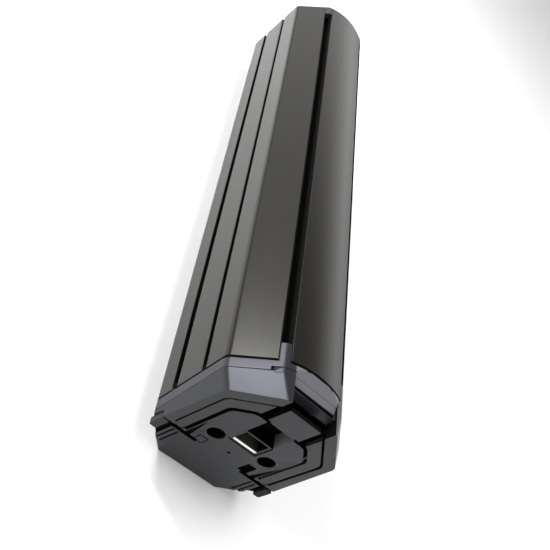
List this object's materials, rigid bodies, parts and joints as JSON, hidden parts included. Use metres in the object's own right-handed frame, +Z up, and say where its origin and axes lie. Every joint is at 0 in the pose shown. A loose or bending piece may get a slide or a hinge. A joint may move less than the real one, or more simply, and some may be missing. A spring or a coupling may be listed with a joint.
{
  "type": "e-bike downtube battery",
  "caption": "Long octagonal battery pack for a bicycle frame tube, with rail slots beside the crown, a raked connector end with a latch pocket, and a far end with a button and a charge port.",
  "frame": {"origin": "under the middle of the pack, on its flat base", "axes": "+Z up from the base to the crown, +Y along the pack from the connector end to the far end, +X across"},
  "size_m": [0.07, 0.3936, 0.084],
  "materials": {
    "case_metal": "extruded, brushed and black anodised, satin",
    "collar_plastic": "fine-textured moulding",
    "cap_plastic": "fine-textured moulding",
    "trim_plastic": "fine-textured moulding",
    "far_plastic": "fine-textured moulding",
    "seal_rubber": "flat gasket",
    "bumper_rubber": "moulded",
    "button_rubber": "moulded",
    "flap_rubber": "moulded",
    "screw_steel": "zinc plated",
    "strike_steel": "stamped plate",
    "pin_steel": "ground pin",
    "spring_steel": "coiled wire",
    "socket_plastic": "glass-filled moulding",
    "sleeve_plastic": "acetal",
    "contact_silver": "silver plated",
    "contact_brass": "plated brass",
    "lens_plastic": "light pipe",
    "board": "solder-masked laminate",
    "chip_plastic": "moulded package",
    "heat_plate": "mill finish",
    "fuse_body": "fuse body",
    "cell_wrap": "shrink sleeve on a steel can",
    "holder_plastic": "moulded cell holder",
    "nickel_strip": "nickel strip",
    "lead_red": "silicone insulation",
    "lead_black": "silicone insulation",
    "ribbon": "flat harness",
    "foam": "closed-cell foam",
    "vent_membrane": "breather plug"
  },
  "bodies": {
    "case": {"case_extrusion": "case_metal", "connector_collar": "collar_plastic", "connector_gasket": "seal_rubber", "collar_screws": "screw_steel", "connector_cap": "cap_plastic", "cap_screws": "screw_steel", "trim_band_left": "trim_plastic", "trim_band_right": "trim_plastic", "socket_housing": "socket_plastic", "contact_bar": "contact_silver", "power_blades": "contact_brass", "signal_pins": "contact_brass", "guide_sleeve_left": "sleeve_plastic", "guide_sleeve_right": "sleeve_plastic", "status_lens": "lens_plastic", "bumper_left": "bumper_rubber", "bumper_right": "bumper_rubber", "lock_strike": "strike_steel", "bms_board": "board", "bms_mosfets": "chip_plastic", "bms_heat_plate": "heat_plate", "main_fuse": "fuse_body", "thermistor": "chip_plastic", "cells_1": "cell_wrap", "cells_2": "cell_wrap", "cells_3": "cell_wrap", "cells_4": "cell_wrap", "cells_5": "cell_wrap", "cell_holder_1": "holder_plastic", "cell_holder_2": "holder_plastic", "cell_holder_3": "holder_plastic", "cell_holder_4": "holder_plastic", "cell_holder_5": "holder_plastic", "cell_holder_6": "holder_plastic", "bus_strips_1": "nickel_strip", "bus_strips_2": "nickel_strip", "bus_strips_3": "nickel_strip", "bus_strips_4": "nickel_strip", "bus_strips_5": "nickel_strip", "bus_strips_6": "nickel_strip", "positive_lead": "lead_red", "negative_lead": "lead_black", "sense_harness": "ribbon", "side_pads": "foam", "far_cap": "far_plastic", "far_gasket": "seal_rubber", "far_screws": "screw_steel", "button_spring": "spring_steel", "button_switch": "chip_plastic", "charge_port": "socket_plastic", "charge_contacts": "contact_brass", "flap_pin": "pin_steel", "level_lenses": "lens_plastic", "indicator_board": "board", "vent_plug": "vent_membrane"},
    "button": {"power_button": "button_rubber"},
    "flap": {"port_flap": "flap_rubber"}
  },
  "joints": [
    {"name": "button_press", "type": "slide", "parent": "case", "child": "button", "axis": [0, -1, 0], "range_m": [0, 0.0012], "stiffness_N_per_m": 400, "springref_m": -0.002},
    {"name": "flap_hinge", "type": "hinge", "parent": "case", "child": "flap", "pos_m": [0, 0.19482, 0.02302], "axis": [-1, 0, 0], "range_deg": [0, 100]}
  ]
}
